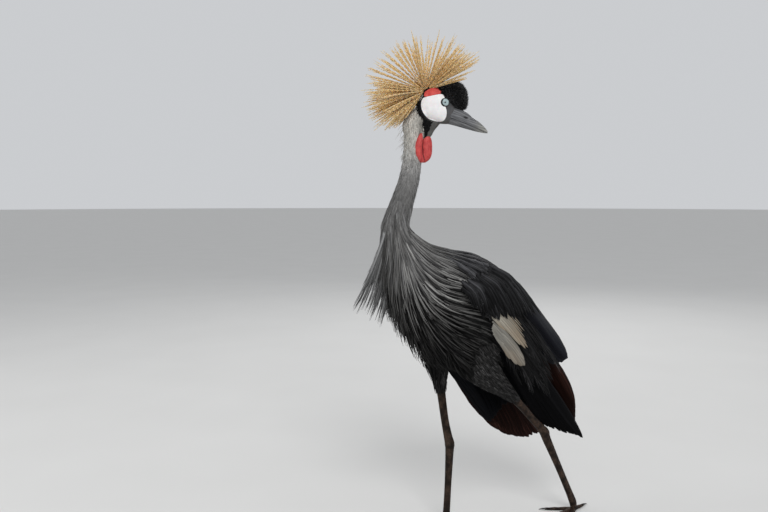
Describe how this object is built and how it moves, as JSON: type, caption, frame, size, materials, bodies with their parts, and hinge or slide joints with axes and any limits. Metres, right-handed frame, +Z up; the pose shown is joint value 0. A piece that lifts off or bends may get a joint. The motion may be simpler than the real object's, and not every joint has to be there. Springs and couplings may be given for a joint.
{
  "type": "grey crowned crane",
  "caption": "Life-size still model of a grey crowned crane in mid-stride, looking back over its left shoulder, with a fan-shaped golden crest, black velvet forehead and red throat wattle.",
  "frame": {"origin": "on the floor, under the middle of the model's bounding box", "axes": "+X the way the body walks, +Y the bird's left, +Z up"},
  "size_m": [0.5804, 0.2174, 1.0381],
  "materials": {
    "body_feathers": "slate grey feathers with long pale grey lance-shaped hackles over the breast",
    "neck_feathers": "short soft pale grey feathers, matt",
    "face_skin": "bare white cheek skin with a red patch above it, dark grey feathers round both",
    "eye": "pale blue-grey iris, small black pupil, glossy",
    "bill_horn": "slate grey horn, paler towards the tip, satin",
    "velvet_feathers": "dense black plush of very short feathers",
    "crest_bristles": "stiff twisted straw-gold bristle feathers, dark-flecked",
    "wattle_skin": "bare coral-red skin, folded, slightly moist sheen",
    "wing_feathers": "slate grey scapulars, cream-white coverts, slate-blue tertials, chestnut secondaries, black primaries",
    "tail_feathers": "black vanes, faint sheen",
    "thigh_feathers": "short dark grey feathers with fine pale streaks",
    "leg_scales": "blackish grey scaled skin",
    "foot_scales": "blackish grey scaled toes with dark horn claws"
  },
  "bodies": {
    "root": {"torso": "body_feathers", "neck_lower": "neck_feathers", "neck_middle": "neck_feathers", "neck_upper": "neck_feathers", "head": "face_skin", "eye_left": "eye", "eye_right": "eye", "bill_upper": "bill_horn", "bill_lower": "bill_horn", "forehead_cushion": "velvet_feathers", "crest": "crest_bristles", "wattle": "wattle_skin", "wing_left": "wing_feathers", "wing_right": "wing_feathers", "tail": "tail_feathers", "thigh_left": "thigh_feathers", "thigh_right": "thigh_feathers", "shank_left": "leg_scales", "shank_right": "leg_scales", "tarsus_left": "leg_scales", "tarsus_right": "leg_scales", "foot_left": "foot_scales", "foot_right": "foot_scales"}
  },
  "joints": []
}
